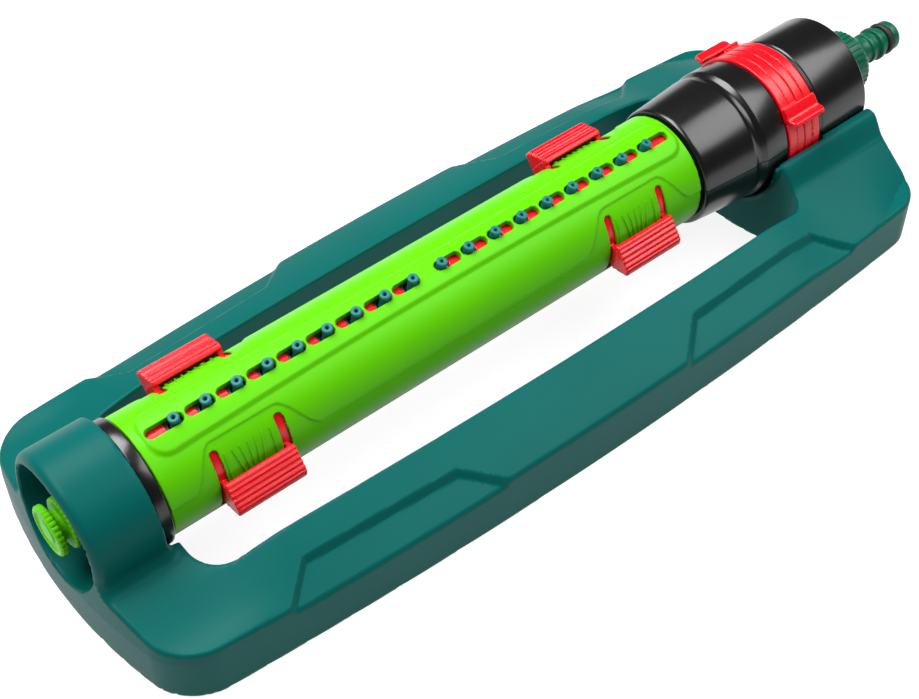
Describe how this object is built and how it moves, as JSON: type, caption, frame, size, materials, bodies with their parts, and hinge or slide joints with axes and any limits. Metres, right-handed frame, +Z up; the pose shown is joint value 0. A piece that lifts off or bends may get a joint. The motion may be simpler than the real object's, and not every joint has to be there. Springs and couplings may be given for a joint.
{
  "type": "oscillating lawn sprinkler",
  "caption": "Oscillating lawn sprinkler: spray arm with a jet row rocks between a hooded bearing and a drive housing on a hollow base, with width sliders and range rings.",
  "frame": {"origin": "on the ground under the middle of the bounding box", "axes": "+X along the spray arm towards the hose connector, +Y to the far rail, +Z up"},
  "size_m": [0.482, 0.1648, 0.08],
  "materials": {
    "base_green": "satin moulded polypropylene, dark blue-green",
    "lime_green": "satin moulded ABS, bright lime green",
    "signal_red": "glossy moulded acetal, signal red",
    "gloss_black": "polished black ABS",
    "tube_grey": "satin grey moulded plastic",
    "jet_teal": "soft teal thermoplastic elastomer",
    "connector_green": "satin dark green polypropylene",
    "gear_white": "natural acetal",
    "seal_rubber": "black nitrile rubber",
    "steel": "stainless steel"
  },
  "bodies": {
    "base": {"base_frame": "base_green", "bearing_bush": "gear_white", "drive_housing": "gloss_black", "housing_screw_1": "steel", "housing_screw_2": "steel", "gearbox_plate": "gear_white", "turbine_pin": "steel", "reduction_pin": "steel", "inlet_filter": "gear_white", "inlet_washer": "seal_rubber"},
    "arm": {"arm_journal": "gloss_black", "arm_tube": "tube_grey", "arm_lower_shell": "tube_grey", "arm_cover": "lime_green", "collar_upper_half": "gloss_black", "collar_lower_half": "gloss_black", "output_gear": "gear_white"},
    "end_plug": {"end_plug": "lime_green"},
    "width_slider_left": {"width_slider_left": "signal_red"},
    "width_slider_right": {"width_slider_right": "signal_red"},
    "range_ring_near": {"range_ring_near": "signal_red"},
    "range_ring_far": {"range_ring_far": "signal_red"},
    "hose_connector": {"hose_connector": "connector_green", "connector_o_ring": "seal_rubber"},
    "turbine": {"turbine_wheel": "gear_white"},
    "reduction_gear": {"reduction_gear": "gear_white"},
    "output_pinion": {"output_pinion": "gear_white"},
    "trip_lever": {"trip_lever": "gear_white"},
    "nozzle_01": {"nozzle_01": "jet_teal"},
    "nozzle_02": {"nozzle_02": "jet_teal"},
    "nozzle_03": {"nozzle_03": "jet_teal"},
    "nozzle_04": {"nozzle_04": "jet_teal"},
    "nozzle_05": {"nozzle_05": "jet_teal"},
    "nozzle_06": {"nozzle_06": "jet_teal"},
    "nozzle_07": {"nozzle_07": "jet_teal"},
    "nozzle_08": {"nozzle_08": "jet_teal"},
    "nozzle_09": {"nozzle_09": "jet_teal"},
    "nozzle_10": {"nozzle_10": "jet_teal"},
    "nozzle_11": {"nozzle_11": "jet_teal"},
    "nozzle_12": {"nozzle_12": "jet_teal"},
    "nozzle_13": {"nozzle_13": "jet_teal"},
    "nozzle_14": {"nozzle_14": "jet_teal"},
    "nozzle_15": {"nozzle_15": "jet_teal"},
    "nozzle_16": {"nozzle_16": "jet_teal"},
    "nozzle_17": {"nozzle_17": "jet_teal"},
    "nozzle_18": {"nozzle_18": "jet_teal"}
  },
  "joints": [
    {"name": "arm_swing", "type": "hinge", "parent": "base", "child": "arm", "pos_m": [0, 0, 0.0475], "axis": [1, 0, 0], "range_deg": [-61, 39]},
    {"name": "end_plug_turn", "type": "hinge", "parent": "arm", "child": "end_plug", "pos_m": [0, 0, 0.0475], "axis": [1, 0, 0], "range_deg": [0, 90]},
    {"name": "slider_left_turn", "type": "hinge", "parent": "arm", "child": "width_slider_left", "pos_m": [0, 0, 0.0475], "axis": [1, 0, 0], "range_deg": [-24, 6]},
    {"name": "slider_right_turn", "type": "hinge", "parent": "arm", "child": "width_slider_right", "pos_m": [0, 0, 0.0475], "axis": [1, 0, 0], "range_deg": [-24, 6]},
    {"name": "range_ring_near_turn", "type": "hinge", "parent": "base", "child": "range_ring_near", "pos_m": [0, 0, 0.0475], "axis": [1, 0, 0], "range_deg": [-38, 18]},
    {"name": "range_ring_far_turn", "type": "hinge", "parent": "base", "child": "range_ring_far", "pos_m": [0, 0, 0.0475], "axis": [1, 0, 0], "range_deg": [-18, 38]},
    {"name": "connector_turn", "type": "hinge", "parent": "base", "child": "hose_connector", "pos_m": [0, 0, 0.0475], "axis": [1, 0, 0], "range_deg": [0, 360]},
    {"name": "turbine_spin", "type": "hinge", "parent": "base", "child": "turbine", "pos_m": [0, 0, 0.0475], "axis": [1, 0, 0], "continuous": true},
    {"name": "reduction_spin", "type": "hinge", "parent": "base", "child": "reduction_gear", "pos_m": [0.159, 0, 0.06045], "axis": [1, 0, 0], "continuous": true},
    {"name": "pinion_spin", "type": "hinge", "parent": "base", "child": "output_pinion", "pos_m": [0.125, 0.012, 0.0475], "axis": [1, 0, 0], "range_deg": [-183, 117]},
    {"name": "trip_lever_tilt", "type": "hinge", "parent": "base", "child": "trip_lever", "pos_m": [0.139, -0.016, 0.0475], "axis": [1, 0, 0], "range_deg": [-9, 9]},
    {"name": "nozzle_01_lean", "type": "hinge", "parent": "arm", "child": "nozzle_01", "pos_m": [-0.1812, -0.00427, 0.06949], "axis": [0, 0.9816, 0.1908], "range_deg": [-21.6, 5.4]},
    {"name": "nozzle_02_lean", "type": "hinge", "parent": "arm", "child": "nozzle_02", "pos_m": [-0.16678, -0.00427, 0.06949], "axis": [0, 0.9816, 0.1908], "range_deg": [-21.6, 5.4]},
    {"name": "nozzle_03_lean", "type": "hinge", "parent": "arm", "child": "nozzle_03", "pos_m": [-0.15236, -0.00427, 0.06949], "axis": [0, 0.9816, 0.1908], "range_deg": [-21.6, 5.4]},
    {"name": "nozzle_04_lean", "type": "hinge", "parent": "arm", "child": "nozzle_04", "pos_m": [-0.13794, -0.00427, 0.06949], "axis": [0, 0.9816, 0.1908], "range_deg": [-21.6, 5.4]},
    {"name": "nozzle_05_lean", "type": "hinge", "parent": "arm", "child": "nozzle_05", "pos_m": [-0.12352, -0.00427, 0.06949], "axis": [0, 0.9816, 0.1908], "range_deg": [-21.6, 5.4]},
    {"name": "nozzle_06_lean", "type": "hinge", "parent": "arm", "child": "nozzle_06", "pos_m": [-0.1091, -0.00427, 0.06949], "axis": [0, 0.9816, 0.1908], "range_deg": [-21.6, 5.4]},
    {"name": "nozzle_07_lean", "type": "hinge", "parent": "arm", "child": "nozzle_07", "pos_m": [-0.09468, -0.00427, 0.06949], "axis": [0, 0.9816, 0.1908], "range_deg": [-21.6, 5.4]},
    {"name": "nozzle_08_lean", "type": "hinge", "parent": "arm", "child": "nozzle_08", "pos_m": [-0.08026, -0.00427, 0.06949], "axis": [0, 0.9816, 0.1908], "range_deg": [-21.6, 5.4]},
    {"name": "nozzle_09_lean", "type": "hinge", "parent": "arm", "child": "nozzle_09", "pos_m": [-0.06584, -0.00427, 0.06949], "axis": [0, 0.9816, 0.1908], "range_deg": [-21.6, 5.4]},
    {"name": "nozzle_10_lean", "type": "hinge", "parent": "arm", "child": "nozzle_10", "pos_m": [-0.05142, -0.00427, 0.06949], "axis": [0, 0.9816, 0.1908], "range_deg": [-5.4, 21.6]},
    {"name": "nozzle_11_lean", "type": "hinge", "parent": "arm", "child": "nozzle_11", "pos_m": [-0.037, -0.00427, 0.06949], "axis": [0, 0.9816, 0.1908], "range_deg": [-5.4, 21.6]},
    {"name": "nozzle_12_lean", "type": "hinge", "parent": "arm", "child": "nozzle_12", "pos_m": [-0.02258, -0.00427, 0.06949], "axis": [0, 0.9816, 0.1908], "range_deg": [-5.4, 21.6]},
    {"name": "nozzle_13_lean", "type": "hinge", "parent": "arm", "child": "nozzle_13", "pos_m": [-0.00816, -0.00427, 0.06949], "axis": [0, 0.9816, 0.1908], "range_deg": [-5.4, 21.6]},
    {"name": "nozzle_14_lean", "type": "hinge", "parent": "arm", "child": "nozzle_14", "pos_m": [0.00626, -0.00427, 0.06949], "axis": [0, 0.9816, 0.1908], "range_deg": [-5.4, 21.6]},
    {"name": "nozzle_15_lean", "type": "hinge", "parent": "arm", "child": "nozzle_15", "pos_m": [0.02068, -0.00427, 0.06949], "axis": [0, 0.9816, 0.1908], "range_deg": [-5.4, 21.6]},
    {"name": "nozzle_16_lean", "type": "hinge", "parent": "arm", "child": "nozzle_16", "pos_m": [0.0351, -0.00427, 0.06949], "axis": [0, 0.9816, 0.1908], "range_deg": [-5.4, 21.6]},
    {"name": "nozzle_17_lean", "type": "hinge", "parent": "arm", "child": "nozzle_17", "pos_m": [0.04952, -0.00427, 0.06949], "axis": [0, 0.9816, 0.1908], "range_deg": [-5.4, 21.6]},
    {"name": "nozzle_18_lean", "type": "hinge", "parent": "arm", "child": "nozzle_18", "pos_m": [0.06394, -0.00427, 0.06949], "axis": [0, 0.9816, 0.1908], "range_deg": [-5.4, 21.6]}
  ],
  "couplings": [
    {"joint": "reduction_spin", "follows": "turbine_spin", "ratio": -0.33333},
    {"joint": "pinion_spin", "follows": "arm_swing", "ratio": 3},
    {"joint": "nozzle_01_lean", "follows": "slider_left_turn", "ratio": 0.9},
    {"joint": "nozzle_02_lean", "follows": "slider_left_turn", "ratio": 0.9},
    {"joint": "nozzle_03_lean", "follows": "slider_left_turn", "ratio": 0.9},
    {"joint": "nozzle_04_lean", "follows": "slider_left_turn", "ratio": 0.9},
    {"joint": "nozzle_05_lean", "follows": "slider_left_turn", "ratio": 0.9},
    {"joint": "nozzle_06_lean", "follows": "slider_left_turn", "ratio": 0.9},
    {"joint": "nozzle_07_lean", "follows": "slider_left_turn", "ratio": 0.9},
    {"joint": "nozzle_08_lean", "follows": "slider_left_turn", "ratio": 0.9},
    {"joint": "nozzle_09_lean", "follows": "slider_left_turn", "ratio": 0.9},
    {"joint": "nozzle_10_lean", "follows": "slider_right_turn", "ratio": -0.9},
    {"joint": "nozzle_11_lean", "follows": "slider_right_turn", "ratio": -0.9},
    {"joint": "nozzle_12_lean", "follows": "slider_right_turn", "ratio": -0.9},
    {"joint": "nozzle_13_lean", "follows": "slider_right_turn", "ratio": -0.9},
    {"joint": "nozzle_14_lean", "follows": "slider_right_turn", "ratio": -0.9},
    {"joint": "nozzle_15_lean", "follows": "slider_right_turn", "ratio": -0.9},
    {"joint": "nozzle_16_lean", "follows": "slider_right_turn", "ratio": -0.9},
    {"joint": "nozzle_17_lean", "follows": "slider_right_turn", "ratio": -0.9},
    {"joint": "nozzle_18_lean", "follows": "slider_right_turn", "ratio": -0.9}
  ]
}
